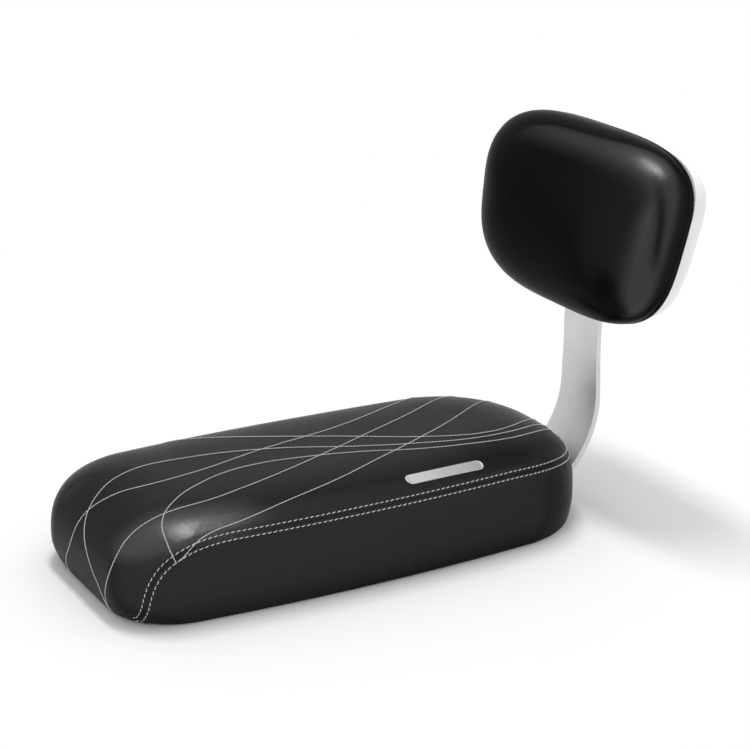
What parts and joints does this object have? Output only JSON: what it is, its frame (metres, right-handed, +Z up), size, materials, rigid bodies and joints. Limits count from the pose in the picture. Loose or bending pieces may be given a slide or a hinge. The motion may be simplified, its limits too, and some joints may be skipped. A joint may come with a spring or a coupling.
{
  "type": "rear child bike seat",
  "caption": "Padded leather seat cushion on a plywood board for a bicycle rear rack, with a bent flat metal bar carrying a padded backrest in a white plastic shell.",
  "frame": {"origin": "middle of the four rack bolts, on the underside of the cushion's board", "axes": "+X forward in the riding direction, +Y to the rider's left, +Z up"},
  "size_m": [0.404, 0.213, 0.2585],
  "materials": {
    "black_leather": "soft satin grain",
    "foam": "matt open cell",
    "plywood": "raw sanded",
    "satin_metal": "satin silver",
    "white_plastic": "gloss moulded",
    "zinc_steel": "zinc plated",
    "badge_silver": "satin",
    "white_thread": "twisted thread"
  },
  "bodies": {
    "root": {"seat_top_panel": "black_leather", "seat_side_panel": "black_leather", "seat_foam": "foam", "seat_board": "plywood", "seat_staples": "zinc_steel", "seat_badge": "badge_silver", "rack_tee_nuts": "zinc_steel", "bar_tee_nuts": "zinc_steel", "bar_screws": "zinc_steel", "backrest_bar": "satin_metal", "backrest_cover": "black_leather", "backrest_foam": "foam", "backrest_board": "plywood", "backrest_staples": "zinc_steel", "backrest_shell": "white_plastic", "shell_screws": "zinc_steel", "backrest_tee_nuts": "zinc_steel", "backrest_bolts": "zinc_steel", "backrest_washers": "zinc_steel"}
  },
  "joints": []
}
